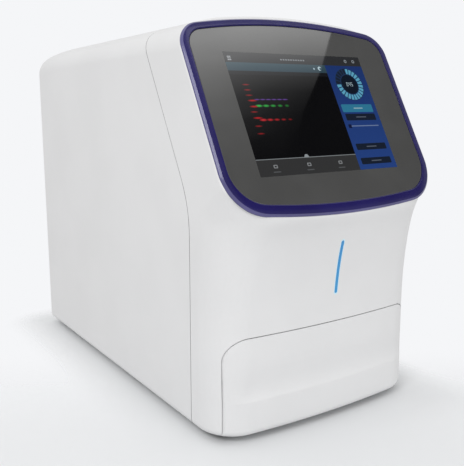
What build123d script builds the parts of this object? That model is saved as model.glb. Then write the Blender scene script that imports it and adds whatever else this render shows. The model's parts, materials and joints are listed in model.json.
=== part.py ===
from build123d import *
import math
import os

# Western blot imaging system in millimetres: X to the right, Y to the rear, Z up from the bench.
# The origin is on the bench under the middle of the overall width and depth.

# Covers
width = 380
depth = 700
height = 585
foot_height = 10
cover_wall = 4
seam_gap = 1
touch_gap = 0.3
crown_radius = 1000
crown_half = 110
haunch_radius = 200
shoulder_radius = 35
rear_round_length = 80
rear_round_drop = 10
rear_corner_radius = 10
bow_radius = 1500
bottom_round = 12
parting_back = 96
parting_depth = 106
parting_blend = 160
parting_margin = 30
rim_round = 4
gasket_reach = 7
gasket_sheet = 2.5
gasket_inset = 1.4
gasket_low = 55

# Hollowed face: step up the face, setback from the foremost point, corner radius in plan
face_low = 60
face_high_drop = 29
face_length = 150
face_steps = 360
face_stations = [
    (0, 27.5, 58),
    (45, 28.8, 58),
    (90, 29.5, 58),
    (140, 28.0, 60),
    (180, 23.5, 63),
    (215, 16.5, 68),
    (238, 9.0, 73),
    (253, 2.8, 75),
    (263, 1.5, 68),
    (274, 1.0, 58),
    (286, 0.5, 45),
    (304, 0.0, 30),
    (330, 0.0, 30),
    (360, 0.0, 30),
]

# Screen unit, in a plane that leans back
screen_lean = 28.5
screen_setback = 77
screen_drop = 136
bezel_inset = 2.5
bezel_top = 148.5
bezel_bottom = 152
bezel_top_radius = 900
bezel_bottom_radius = 1200
bezel_top_corner = 38
bezel_bottom_corner = 61
bezel_width = 11
bezel_sill = 15
bezel_proud = 6
bezel_flange_proud = 3.5
bezel_flange = 4.5
bezel_round = 1.4
glass_thickness = 2.5
glass_round = 0.8
glass_gap = 0.4
display_width = 246
display_height = 184.5
display_border = 7
display_depth = 11
bracket_border = 16
bracket_sheet = 2
display_board_width = 150
display_board_height = 90
board_sheet = 1.6
standoff_height = 8
display_chips = [(-30, 12, 24, 24, 3), (20, 14, 18, 18, 2), (0, -24, 60, 8, 6), (50, -10, 14, 22, 5)]
standoff_radius = 3

# Light strip
strip_x = 6
strip_start = 135
strip_end = 213
strip_width = 4.5
strip_proud = 0.4
strip_board_width = 14
strip_board_back = 42

# Drawer
drawer_side = 17
drawer_top = 152
drawer_corner = 32
drawer_gap = 1.3
drawer_panel_back = 60
drawer_travel = 320
tray_floor = 40
tray_wall_top = 88
tray_sheet = 3
tray_rear_gap = 58
bulkhead_top = 122
bulkhead_bottom = 24
bulkhead_side = 5
seal_height = 14
seal_depth = 3
catch_size = 24
catch_x = 60
motor_boss_radius = 6

# Telescopic slides
slide_rear_gap = 1.7
slide_height = 45
slide_sheet = 1.5
slide_depth = 12
slide_play = 0.5

# Base, frame and feet
base_sheet = 3
base_flange = 29
base_setback = 95
foot_radius = 16
foot_inset_x = 46
foot_front = 135
foot_rear = 50
frame_behind = 18
frame_width = 22
frame_depth = 14
frame_drop = 63
frame_sheet = 2
lip_width = 12
boss_radius = 5

# Dark chamber
chamber_side = 22
chamber_sheet = 2
chamber_setback = 108
chamber_length = 362
chamber_drop = 185
chamber_door_top = 100
deck_sheet = 3
axis_behind = 147
lens_port_radius = 40

# Sample stage
stage_side = 31
stage_length = 190
stage_base = 58
stage_floor = 3
stage_rim = 16
stage_rim_width = 6
stage_corner = 14
diffuser_thickness = 4
stage_module = 1.5
stage_teeth = 80
stage_pinion_teeth = 16
stage_gear_thickness = 7
stage_hub_radius = 26
spindle_radius = 10
bearing_flange_radius = 30
bearing_flange = 3
stage_motor_size = 42
stage_motor_height = 18

# Gear teeth, in modules and in shares of a tooth pitch
tooth_tip = 0.8
tooth_root = 1.1
tooth_root_half = 0.32
tooth_tip_half = 0.12
running_gap = 0.05

# Filter wheel
filter_module = 2
filter_teeth = 92
filter_pinion_teeth = 16
filter_orbit = 62
filter_count = 5
filter_radius = 24
filter_ledge = 2
filter_wheel_thickness = 6
filter_lift = 6
filter_axle_radius = 6
filter_motor_size = 42
filter_motor_height = 28
motor_shaft_radius = 2.5

# Lens and camera
lens_radius = 29
lens_height = 62
lens_glass_radius = 23
lens_gap = 4
zoom_module = 1
zoom_teeth = 72
zoom_pinion_teeth = 17
zoom_ring_height = 12
zoom_ring_lift = 26
zoom_motor_size = 20
zoom_shaft_radius = 1.5
bridge_half = 100
bridge_depth = 96
bridge_sheet = 3
camera_size = 72
camera_height = 48
sink_height = 16
sink_fins = 9
sink_fin = 2

# Fans
camera_fan_size = 60
camera_fan_depth = 10
rear_fan_size = 92
rear_fan_depth = 25
fan_x = 88
fan_drop = 180
fan_blades = 7
fan_tip_gap = 1.2
fan_shaft_radius = 2
fan_corner = 3
fan_slots = 11
fan_pitch = 40
fan_blade = 1.6

# Epi lights
epi_length = 210
epi_width = 40
epi_depth = 18
epi_tilt = 35
epi_side = 36
epi_drop = 34
epi_hanger = 60

# Rear panel and electronics
vent_count = 14
vent_pitch = 9
vent_width = 4
vent_height = 84
vent_x = 88
vent_below_fan = 150
panel_side = 102
panel_z = 90
panel_width = 150
panel_height = 70
panel_corner = 5
panel_sheet = 2
inlet_width = 30
inlet_height = 26
inlet_depth = 24
inlet_z = 90
inlet_offset = 46
switch_width = 15
switch_height = 24
switch_depth = 18
switch_offset = 14
rocker_gap = 0.6
rocker_tilt = 8
rocker_pin_depth = 4
rocker_pin_radius = 1.5
rocker_dish = 60
socket_offset = 34
socket_depth = 16
screw_radius = 4
screw_sink = 2
screw_length = 14
screw_z = 36
screw_side = 40
screw_middle = 50
rear_bay_front = 40
bay_margin = 8
supply_width = 120
supply_rear_gap = 50
supply_height = 84
computer_width = 120
computer_rear_gap = 40
computer_height = 70
computer_fins = 11
control_width = 200
control_height = 150
control_drop = 120

# Chips on the control board: place across and up, width, height, thickness
control_chips = [
    (-55, 30, 34, 34, 5),
    (20, 36, 24, 24, 3),
    (60, -20, 40, 12, 12),
    (-40, -40, 60, 9, 10),
    (30, -48, 30, 14, 14),
]

half_width = width / 2
front_y = -depth / 2
rear_y = depth / 2
screen_y = front_y + screen_setback
screen_height = height - screen_drop
screen_plane = Plane(
    origin=(0, screen_y, screen_height),
    x_dir=(1, 0, 0),
    z_dir=(0, -math.cos(math.radians(screen_lean)), math.sin(math.radians(screen_lean))),
)
parting_top_y = screen_y + parting_back + (height - screen_height) * math.tan(math.radians(screen_lean))
parting_top_y += parting_margin
face_high = screen_height - face_high_drop
face_root = front_y + face_length
bezel_half = half_width - bezel_inset
strip_low = face_low + strip_start * (face_high - face_low) / face_steps
strip_high = face_low + strip_end * (face_high - face_low) / face_steps
drawer_half = half_width - drawer_side
chamber_half = half_width - chamber_side
chamber_front = front_y + chamber_setback
chamber_rear = chamber_front + chamber_length
chamber_top = height - chamber_drop
tray_rear = chamber_rear - tray_rear_gap
bulkhead_y = chamber_front - seal_depth
bulkhead_half = chamber_half - bulkhead_side
axis_y = chamber_front + axis_behind
foot_front_y = front_y + foot_front
foot_rear_y = rear_y - foot_rear
frame_y = chamber_rear + frame_behind
frame_top = height - frame_drop
epi_x = chamber_half - epi_side
epi_z = chamber_top - epi_drop
fan_z = height - fan_drop
vent_z = fan_z - vent_below_fan
panel_x = half_width - panel_side
inlet_x = panel_x - inlet_offset
switch_x = panel_x - switch_offset
socket_x = panel_x + socket_offset
rear_bay_y = chamber_rear + rear_bay_front
supply_length = rear_y - supply_rear_gap - rear_bay_y
computer_length = rear_y - computer_rear_gap - rear_bay_y
control_z = chamber_top - control_drop
base_z = foot_height + cover_wall
base_top = base_z + base_sheet
base_half = half_width - bottom_round - 1
base_rear = rear_y - rear_corner_radius
panel_back_y = front_y + drawer_panel_back
slide_z = (tray_floor + tray_wall_top) / 2
slide_front = chamber_front + chamber_sheet + touch_gap
slide_length = tray_rear - slide_rear_gap - slide_front
tray_half = chamber_half - chamber_sheet - slide_depth
stage_width = 2 * (tray_half - tray_sheet - stage_side)
deck_top = chamber_top + deck_sheet
stage_centres = stage_module * (stage_teeth + stage_pinion_teeth) / 2

os.makedirs("parts", exist_ok=True)


def save(name, part):
    export_step(part, "parts/" + name + ".step")


def block(x0, x1, y0, y1, z0, z1):
    return Pos((x0 + x1) / 2, (y0 + y1) / 2, (z0 + z1) / 2) * Box(x1 - x0, y1 - y0, z1 - z0)


def rod(x, y, z0, z1, radius):
    return Pos(x, y, (z0 + z1) / 2) * Cylinder(radius, z1 - z0)


def tube(x, y, z0, z1, outer, inner):
    return rod(x, y, z0, z1, outer) - rod(x, y, z0 - 1, z1 + 1, inner)


def both_sides(part):
    return part + mirror(part, about=Plane.YZ)


# Outer form of the covers

def plan_face(setback, corner, inset, back):
    half = half_width - inset
    front = front_y + setback + inset
    bow = bow_radius - inset
    radius = corner - inset
    centre_x = half - radius
    centre_y = front + bow - math.sqrt((bow - radius) ** 2 - centre_x**2)
    join_x = centre_x * bow / (bow - radius)
    join_y = front + bow + (centre_y - front - bow) * bow / (bow - radius)
    mid_x = centre_x + radius * math.sin(math.radians(45))
    mid_y = centre_y - radius * math.cos(math.radians(45))
    edges = [
        Line((half, back), (half, centre_y)),
        ThreePointArc((half, centre_y), (mid_x, mid_y), (join_x, join_y)),
        ThreePointArc((join_x, join_y), (0, front), (-join_x, join_y)),
        ThreePointArc((-join_x, join_y), (-mid_x, mid_y), (-half, centre_y)),
        Line((-half, centre_y), (-half, back)),
        Line((-half, back), (half, back)),
    ]
    return make_face(edges)


def section_face(inset, drop, low, narrow=0, bottom_radius=0):
    half = half_width - inset - narrow
    top = height - inset - drop
    crown_sin = crown_half / crown_radius
    haunch_run = half_width - crown_half + haunch_radius * crown_sin - shoulder_radius
    crown_angle = math.degrees(math.asin(crown_sin))
    haunch_angle = math.degrees(math.asin(haunch_run / (haunch_radius - shoulder_radius)))
    crown_x = (crown_radius - inset) * crown_sin - narrow
    crown_z = top - (crown_radius - inset) * (1 - math.cos(math.radians(crown_angle)))
    tangent = (math.cos(math.radians(crown_angle)), -crown_sin)
    haunch = JernArc((crown_x, crown_z), tangent, haunch_radius - inset, crown_angle - haunch_angle)
    shoulder = JernArc(haunch @ 1, haunch % 1, shoulder_radius - inset, haunch_angle - 90)
    side = Line(shoulder @ 1, (half, low))
    right = haunch.edges() + shoulder.edges() + side.edges()
    left = [mirror(edge, about=Plane.YZ) for edge in right]
    crown = ThreePointArc((-crown_x, crown_z), (0, top), (crown_x, crown_z))
    floor = Line((-half, low), (half, low))
    face = make_face(right + ShapeList(left) + crown.edges() + floor.edges())
    if bottom_radius:
        face = fillet(face.vertices().sort_by(Axis.Y)[:2], bottom_radius)
    return face


def at_y(y, face):
    return Plane.XZ.offset(-y) * face


def section_prism(inset, low, y0, y1, bottom_radius):
    return extrude(at_y(y1, section_face(inset, 0, low, 0, bottom_radius)), y1 - y0)


def rear_section(inset, low, bottom_radius, along):
    length = rear_round_length - inset
    corner = rear_corner_radius - inset
    past = max(0, along + corner - length)
    narrow = corner - math.sqrt(corner**2 - min(past, corner) ** 2)
    drop = (rear_round_drop - inset) * (1 - math.sqrt(1 - min(along / length, 1) ** 2))
    face = section_face(inset, drop, low + narrow, narrow, bottom_radius)
    return at_y(rear_y - rear_round_length + along, face)


def rear_round(inset, low, bottom_radius):
    length = rear_round_length - inset
    corner = rear_corner_radius - inset
    turn = math.asin(1 - corner / length)
    upper = [length * math.sin(turn * step / 4) for step in range(5)]
    around = [length - corner + corner * math.sin(math.radians(angle)) for angle in range(0, 91, 15)]
    first = loft([rear_section(inset, low, bottom_radius, along) for along in upper])
    return first + loft([rear_section(inset, low, bottom_radius, along) for along in around])


def front_form(inset, screen_inset, low, bottom_radius):
    first = face_stations[0]
    slab = extrude(Pos(0, 0, low) * plan_face(first[1], first[2], inset, face_root), face_low - low)
    if bottom_radius:
        edges = slab.faces().sort_by(Axis.Z)[0].edges().sort_by(Axis.Y)[:-1]
        slab = fillet(edges, bottom_radius)
    faces = []
    for step, back, corner in face_stations:
        z = face_low + step * (face_high - face_low) / face_steps
        faces.append(Pos(0, 0, z) * plan_face(back, corner, inset, face_root))
    hollow = loft(faces)
    top = section_prism(inset, low, front_y - 20, parting_top_y, bottom_radius)
    top -= block(-width, width, 2 * front_y, face_root, -height, face_high)
    ahead = screen_plane * Pos(0, 0, height / 2 - screen_inset) * Box(2 * width, 2 * height, height)
    return slab + hollow + top - ahead


def rounded_rim(form):
    screen_face = form.faces().sort_by(Axis(screen_plane.origin, screen_plane.z_dir))[-1]
    return fillet(screen_face.edges(), rim_round)


def rear_form(inset, low, bottom_radius):
    start = front_y + parting_depth - 20
    prism = section_prism(inset, low, start, rear_y - rear_round_length, bottom_radius)
    return prism + rear_round(inset, low, bottom_radius)


def ahead_of_parting(shift):
    lean = math.tan(math.radians(screen_lean))
    corner_y = front_y + parting_depth
    corner_z = screen_height + (corner_y - screen_y - parting_back) / lean
    top_z = 2 * height
    top_y = screen_y + parting_back + (top_z - screen_height) * lean
    far_y = 2 * front_y
    outline = Polyline(
        (top_y, top_z), (corner_y, corner_z), (corner_y, -50), (far_y, -50), (far_y, top_z), close=True
    )
    face = make_face(outline.edges())
    corner = face.vertices().sort_by(lambda v: abs(v.X - corner_y) + abs(v.Y - corner_z))[0]
    zone = extrude(Plane.YZ * fillet(corner, parting_blend), width, both=True)
    return Pos(0, shift, 0) * zone


def drawer_prism(grow, back):
    half = drawer_half + grow
    top = drawer_top + grow
    low = -50
    face = Pos(0, (top + low) / 2) * Rectangle(2 * half, top - low)
    face = fillet(face.vertices().sort_by(Axis.Y)[-2:], drawer_corner + grow)
    return extrude(at_y(back, face), back - front_y + 50)


def strip_prism(grow):
    length = strip_high - strip_low + 2 * grow
    slot = SlotOverall(length, strip_width + 2 * grow, rotation=90)
    slot = Pos(strip_x, (strip_low + strip_high) / 2) * slot
    return extrude(at_y(front_y + drawer_panel_back, slot), drawer_panel_back + 50)


def bezel_face(margin, sill=0):
    half = bezel_half - margin
    top = bezel_top - margin
    bottom = bezel_bottom - margin - sill
    top_radius = bezel_top_radius - margin
    bottom_radius = bezel_bottom_radius - margin
    top_side = top - top_radius + math.sqrt(top_radius**2 - half**2)
    bottom_side = -bottom + bottom_radius - math.sqrt(bottom_radius**2 - half**2)
    outline = ThreePointArc((-half, top_side), (0, top), (half, top_side)).edges()
    outline += Line((half, top_side), (half, bottom_side)).edges()
    outline += ThreePointArc((half, bottom_side), (0, -bottom), (-half, bottom_side)).edges()
    outline += Line((-half, bottom_side), (-half, top_side)).edges()
    face = make_face(outline)
    face = fillet(face.vertices().sort_by(Axis.Y)[-2:], bezel_top_corner - margin)
    return fillet(face.vertices().sort_by(Axis.Y)[:2], bezel_bottom_corner - margin)


def on_screen(lift, face, thickness):
    return extrude(screen_plane * Pos(0, 0, lift) * face, thickness)


# Covers and their screws

def cover_screw_places():
    return [(side * x, screw_z) for x in (half_width - screw_side, screw_middle) for side in (-1, 1)]


def rear_rod(x, z, y0, y1, radius):
    return Pos(x, (y0 + y1) / 2, z) * Rot(90, 0, 0) * Cylinder(radius, y1 - y0)


def slots(centre_x, centre_z, count, pitch, height_of_slot):
    row = Part()
    for index in range(count):
        x = centre_x + (index - (count - 1) / 2) * pitch
        slot = Pos(x, centre_z) * SlotOverall(height_of_slot, vent_width, rotation=90)
        row += extrude(at_y(rear_y + 20, slot), 20 + 2 * cover_wall)
    return row


def make_covers():
    outer = rounded_rim(front_form(0, 0, foot_height, bottom_round))
    inner = front_form(cover_wall, cover_wall, base_z, bottom_round - cover_wall)
    front = (outer - inner) & ahead_of_parting(0)
    front -= drawer_prism(drawer_gap, front_y + parting_depth)
    front -= strip_prism(touch_gap)
    window = Rectangle(display_width + 2 * display_border, display_height + 2 * display_border)
    front -= on_screen(-2 * cover_wall, offset(window, glass_gap), 4 * cover_wall)
    save("front_cover", front)

    panel = outer & drawer_prism(0, panel_back_y)
    hollow = inner & Pos(0, cover_wall, 0) * drawer_prism(-cover_wall, panel_back_y)
    save("drawer_front", panel - hollow)
    make_light_strip(inner)
    make_main_cover()
    make_gasket()


def make_main_cover():
    main = rear_form(0, foot_height, bottom_round)
    main -= rear_form(cover_wall, base_z, bottom_round - cover_wall)
    main -= ahead_of_parting(seam_gap)
    edge = base_half - lip_width
    main -= block(-edge, edge, front_y, base_rear - lip_width, 0, base_z + 1)
    main -= slots(vent_x, vent_z, vent_count, vent_pitch, vent_height)
    main -= slots(-vent_x, vent_z, vent_count, vent_pitch, vent_height)
    main -= slots(fan_x, fan_z, fan_slots, (rear_fan_size - 4) / fan_slots, rear_fan_size - 10)
    opening = Pos(-panel_x, panel_z) * RectangleRounded(panel_width, panel_height, panel_corner)
    main -= extrude(at_y(rear_y + 20, opening), 20 + 2 * cover_wall)
    for x, z in cover_screw_places():
        main -= rear_rod(x, z, rear_y - 2 * cover_wall, rear_y + 1, screw_radius / 2 + running_gap)
        main -= rear_rod(x, z, rear_y - screw_sink, rear_y + 1, screw_radius + touch_gap)
    save("main_cover", main)


def make_gasket():
    ends = (front_y + parting_depth - 2 * gasket_reach, parting_top_y)
    radius = bottom_round - cover_wall
    inside = section_prism(cover_wall, base_z, *ends, radius)
    band = inside - section_prism(cover_wall + gasket_sheet, base_z, *ends, radius)
    band = (band & ahead_of_parting(seam_gap + gasket_reach)) - ahead_of_parting(-gasket_reach)
    rib = section_prism(gasket_inset, base_z, *ends, bottom_round - gasket_inset) - inside
    rib = (rib & ahead_of_parting(seam_gap)) - ahead_of_parting(0)
    below = block(-width, width, -depth, depth, -height, gasket_low)
    save("cover_gasket", band + rib - below)


def make_light_strip(inner):
    board_y = front_y + strip_board_back
    board_front = board_y - board_sheet
    proud = front_form(-strip_proud, 0, foot_height, 0) & strip_prism(0)
    save("light_strip", proud & block(-width, width, 2 * front_y, board_front, 0, height))
    left = strip_x - strip_board_width / 2
    right = left + strip_board_width
    board = block(left, right, board_front, board_y, strip_low - 8, strip_high + 8)
    for z in (strip_low - 6, strip_high + 2):
        board += block(left, right, front_y, board_front, z, z + 4) & inner
    save("strip_board", board)


def make_cover_screws():
    screws = []
    for x, z in cover_screw_places():
        screw = rear_rod(x, z, rear_y - screw_sink, rear_y - touch_gap, screw_radius)
        screw += rear_rod(x, z, rear_y - screw_length, rear_y - screw_sink, screw_radius / 2)
        drive = Pos(x, rear_y, z) * (Box(3.4, 2.4, 0.9) + Box(0.9, 2.4, 3.4))
        screws += (screw - drive).solids()
    save("cover_screws", Compound(screws))


# Screen unit

def make_screen():
    opening = bezel_face(bezel_width, bezel_sill - bezel_width)
    flange = on_screen(0, bezel_face(0) - opening, bezel_flange_proud)
    band = on_screen(0, bezel_face(bezel_flange) - opening, bezel_proud)
    outward = Axis(screen_plane.origin, screen_plane.z_dir)
    flange = fillet(flange.faces().sort_by(outward)[-1].edges(), bezel_round)
    band = fillet(band.faces().sort_by(outward)[-1].edges(), bezel_round)
    save("bezel_ring", flange + band)
    glass = on_screen(0, bezel_face(bezel_width + glass_gap, bezel_sill - bezel_width), glass_thickness)
    glass = fillet(glass.faces().sort_by(outward)[-1].edges(), glass_round)
    save("screen_glass", glass)

    panel_w = display_width + 2 * display_border
    panel_h = display_height + 2 * display_border
    save("display_panel", on_screen(-display_depth, Rectangle(panel_w, panel_h), display_depth))
    plate = Rectangle(panel_w + 2 * bracket_border, panel_h + 2 * bracket_border)
    plate -= Rectangle(panel_w - 4 * bracket_border, panel_h - 4 * bracket_border)
    back = -display_depth - bracket_sheet
    bracket = on_screen(back, plate, bracket_sheet)
    post_x = (panel_w + bracket_border) / 2
    post_y = (panel_h + bracket_border) / 2
    posts = Locations((post_x, post_y), (-post_x, post_y), (post_x, -post_y), (-post_x, -post_y))
    for place in posts.local_locations:
        bracket += on_screen(-display_depth, place * Circle(standoff_radius), display_depth - cover_wall)
    bar = Rectangle(display_board_width + 10, panel_h - 2 * bracket_border)
    bar -= Rectangle(display_board_width - 20, panel_h)
    bracket += on_screen(back, bar, bracket_sheet)
    save("display_bracket", bracket)
    save("display_board", make_display_board(back))


def make_display_board(back):
    top = back - standoff_height
    board = on_screen(top - board_sheet, Rectangle(display_board_width, display_board_height), board_sheet)
    post_x = display_board_width / 2 - 5
    post_y = display_board_height / 2 - 5
    for x in (-post_x, post_x):
        for y in (-post_y, post_y):
            board += on_screen(top, Pos(x, y) * Circle(standoff_radius), standoff_height)
    for x, y, w, h, tall in display_chips:
        board += on_screen(top - board_sheet - tall, Pos(x, y) * Rectangle(w, h), tall)
    return board


# Drawer, slides and seal

def make_drawer():
    front = panel_back_y + tray_sheet
    rear = tray_rear - tray_sheet
    floor = tray_floor + tray_sheet
    tray = block(-tray_half, tray_half, front, rear, tray_floor, floor)
    tray += both_sides(block(tray_half - tray_sheet, tray_half, front, rear, floor, tray_wall_top))
    tray -= rod(0, axis_y + stage_centres, tray_floor - 1, floor + 1, motor_boss_radius)
    bulkhead_front = bulkhead_y - tray_sheet
    bulkhead = block(
        -bulkhead_half, bulkhead_half, bulkhead_front, bulkhead_y, bulkhead_bottom, bulkhead_top
    )
    save("drawer_tray", tray - bulkhead)
    rear_plate = block(-tray_half, tray_half, rear, tray_rear, tray_floor, tray_wall_top)
    front_plate = drawer_prism(-1, front) & block(-width, width, panel_back_y, front, base_z, height)
    save("drawer_plates", Compound([front_plate.solid(), bulkhead.solid(), rear_plate.solid()]))
    seal_y = bulkhead_y + touch_gap
    seal_top = bulkhead_top - 4
    seal_half = bulkhead_half - 1
    save("drawer_seal", block(-seal_half, seal_half, seal_y, chamber_front, seal_top - seal_height, seal_top))
    catch_back = seal_y + catch_size / 2
    save("magnetic_catch", block(catch_x, catch_x + catch_size, seal_y, catch_back, base_top, tray_floor - 4))


def slide_member(half_height, web, flange_start, flange_end, back):
    inner = chamber_half - chamber_sheet
    length = (back - slide_length, back)
    low = slide_z - half_height
    high = slide_z + half_height
    member = block(inner - web - slide_sheet, inner - web, *length, low, high)
    for z0 in (high - slide_sheet, low):
        member += block(inner - flange_end, inner - flange_start, *length, z0, z0 + slide_sheet)
    return member


def make_slides():
    back = slide_front + slide_length
    step = slide_sheet + slide_play
    half = slide_height / 2
    outer = slide_member(half, 0, 0, slide_depth - 2 * slide_sheet, back)
    middle = slide_member(half - step, 2 * slide_sheet, 2 * slide_sheet, slide_depth - step, back)
    inner_web = slide_depth - slide_sheet
    inner = slide_member(half - 2 * step, inner_web, inner_web - 3 * slide_sheet, slide_depth, back)
    for name, member in (("outer", outer), ("middle", middle), ("inner", inner)):
        save("slide_" + name + "_right", member)
        save("slide_" + name + "_left", mirror(member, about=Plane.YZ))


# Base, feet, frame and chamber

def make_base():
    top = base_top + base_flange
    front = front_y + base_setback
    inside = base_half - base_sheet
    base = block(-base_half, base_half, front, base_rear, base_z, top)
    base -= block(-inside, inside, front - 1, base_rear - base_sheet, base_top, top + 1)
    for x, z in cover_screw_places():
        base += rear_rod(x, z, base_rear, rear_y - cover_wall, boss_radius)
        base -= rear_rod(x, z, base_rear - base_sheet - 1, rear_y, screw_radius / 2 + running_gap)
    save("base_tray", base)
    feet = []
    for x in (foot_inset_x - half_width, half_width - foot_inset_x):
        for y in (foot_front_y, foot_rear_y):
            foot = Pos(x, y, base_z / 2) * Cone(foot_radius - 2, foot_radius, base_z)
            feet.append(foot.solid())
    save("rubber_feet", Compound(feet))


def make_frame():
    outside = base_half - base_sheet
    inside = outside - frame_depth
    y0 = frame_y - frame_width / 2
    y1 = frame_y + frame_width / 2
    post = block(inside, outside, y0, y1, base_top, frame_top)
    channel = (y0 + frame_sheet, y1 - frame_sheet)
    post -= block(inside - 1, outside - frame_sheet, *channel, base_top - 1, frame_top + 1)
    under = frame_top - frame_depth
    rail = block(-inside, inside, y0, y1, under, frame_top)
    rail -= block(-width, width, *channel, under - 1, frame_top - frame_sheet)
    save("inner_frame", both_sides(post) + rail)


def make_chamber():
    inside = chamber_half - chamber_sheet
    wall = block(inside, chamber_half, chamber_front, chamber_rear, base_top, chamber_top)
    chamber = both_sides(wall)
    rear = chamber_rear - chamber_sheet
    chamber += block(-chamber_half, chamber_half, rear, chamber_rear, base_top, chamber_top)
    front = chamber_front + chamber_sheet
    chamber += block(-chamber_half, chamber_half, chamber_front, front, chamber_door_top, chamber_top)
    save("dark_chamber", chamber)
    deck = block(-chamber_half, chamber_half, chamber_front, chamber_rear, chamber_top, deck_top)
    save("camera_deck", deck - rod(0, axis_y, chamber_top - 1, deck_top + 1, lens_port_radius))
    light = Pos(epi_x, axis_y, epi_z) * Rot(0, epi_tilt, 0) * Box(epi_width, epi_length, epi_depth)
    hanger = Pos(epi_x, axis_y, (epi_z + chamber_top) / 2) * Box(8, epi_hanger, chamber_top - epi_z)
    light += hanger
    save("epi_lights", Compound([light.solid(), mirror(light, about=Plane.YZ).solid()]))


# Gears

def gear(teeth, module, thickness, bore, tooth_at):
    pitch_radius = module * teeth / 2
    root = pitch_radius - tooth_root * module
    tip = pitch_radius + tooth_tip * module
    points = []
    for index in range(teeth):
        for radius, share in (
            (root, -tooth_root_half), (tip, -tooth_tip_half), (tip, tooth_tip_half), (root, tooth_root_half)
        ):
            angle = math.radians(tooth_at + (index + share) * 360 / teeth)
            points.append((radius * math.cos(angle), radius * math.sin(angle)))
    wheel = extrude(make_face(Polyline(*points, close=True).edges()), thickness)
    return wheel - rod(0, 0, -1, thickness + 1, bore) if bore else wheel


def pinion(teeth, module, thickness, shaft_low, shaft_high, shaft_radius):
    wheel = gear(teeth, module, thickness, 0, 180 / teeth - 90)
    return wheel + rod(0, 0, shaft_low, shaft_high, shaft_radius)


# Sample stage

def make_stage():
    floor = tray_floor + tray_sheet
    gear_z = floor + bearing_flange + touch_gap
    bearing = rod(0, axis_y, floor, floor + bearing_flange, bearing_flange_radius)
    save("stage_bearing", bearing + rod(0, axis_y, floor, stage_base - 2, spindle_radius))
    bore = spindle_radius + running_gap
    ring = gear(stage_teeth, stage_module, stage_gear_thickness, bore, 90)
    ring += tube(0, 0, stage_gear_thickness, stage_base - gear_z, stage_hub_radius, bore)
    save("stage_gear", Pos(0, axis_y, gear_z) * ring)
    pinion_y = axis_y + stage_centres
    shaft_low = tray_floor - stage_motor_height * 0.6 - gear_z
    wheel = pinion(stage_pinion_teeth, stage_module, stage_gear_thickness, shaft_low, 1, motor_shaft_radius)
    save("stage_pinion", Pos(0, pinion_y, gear_z) * wheel)
    half = stage_motor_size / 2
    motor = block(-half, half, pinion_y - half, pinion_y + half, tray_floor - stage_motor_height, tray_floor)
    motor = chamfer(motor.edges().filter_by(Axis.Z), 4)
    motor -= rod(0, pinion_y, shaft_low + gear_z - 1, tray_floor + 1, motor_shaft_radius + running_gap)
    save("stage_motor", motor)

    top = stage_base + stage_rim
    lower = stage_base + stage_floor
    ledge = top - diffuser_thickness
    stage = stage_plate(0, stage_base, top)
    stage -= stage_plate(stage_rim_width, lower, ledge)
    stage -= stage_plate(stage_rim_width / 2, ledge, top + 1)
    save("sample_stage", stage)
    save("stage_lamp_board", stage_plate(stage_rim_width + touch_gap, lower, lower + board_sheet))
    save("stage_diffuser", stage_plate(stage_rim_width / 2 + touch_gap, ledge, top))


def stage_plate(inset, z0, z1):
    outline = RectangleRounded(stage_width - 2 * inset, stage_length - 2 * inset, stage_corner - inset)
    return extrude(Pos(0, axis_y, z0) * outline, z1 - z0)


# Filter wheel

def make_filter_wheel():
    axle_y = axis_y + filter_orbit
    wheel_z = deck_top + filter_lift
    wheel_top = wheel_z + filter_wheel_thickness
    spindle = rod(0, axle_y, deck_top, wheel_z - touch_gap, 2 * filter_axle_radius)
    save("filter_spindle", spindle + rod(0, axle_y, deck_top, wheel_top + 3, filter_axle_radius))
    wheel = gear(filter_teeth, filter_module, filter_wheel_thickness, filter_axle_radius + running_gap, 90)
    glasses = []
    for index in range(filter_count):
        angle = math.radians(index * 360 / filter_count - 90)
        x = filter_orbit * math.cos(angle)
        y = filter_orbit * math.sin(angle)
        wheel -= rod(x, y, -1, filter_wheel_thickness + 1, filter_radius - filter_ledge)
        wheel -= rod(x, y, filter_ledge / 2, filter_wheel_thickness + 1, filter_radius)
        disc = rod(x, axle_y + y, wheel_z + filter_ledge / 2, wheel_top - 1, filter_radius - 2 * running_gap)
        glasses.append(disc.solid())
    save("filter_wheel", Pos(0, axle_y, wheel_z) * wheel)
    save("filter_glasses", Compound(glasses))
    pinion_y = axle_y + filter_module * (filter_teeth + filter_pinion_teeth) / 2
    body_z = wheel_top + 3
    shaft_high = body_z + filter_motor_height * 0.6 - wheel_z
    driver = pinion(
        filter_pinion_teeth, filter_module, filter_wheel_thickness, 1, shaft_high, motor_shaft_radius
    )
    save("filter_pinion", Pos(0, pinion_y, wheel_z) * driver)
    half = filter_motor_size / 2
    motor = block(-half, half, pinion_y - half, pinion_y + half, body_z, body_z + filter_motor_height)
    motor = chamfer(motor.edges().filter_by(Axis.Z), 4)
    motor -= rod(0, pinion_y, body_z - 1, wheel_z + shaft_high + 1, motor_shaft_radius + running_gap)
    motor += block(
        4 - half, half - 4, pinion_y + half, pinion_y + half + 3, deck_top, body_z + filter_motor_height
    )
    save("filter_motor", motor)


# Lens and camera

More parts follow.
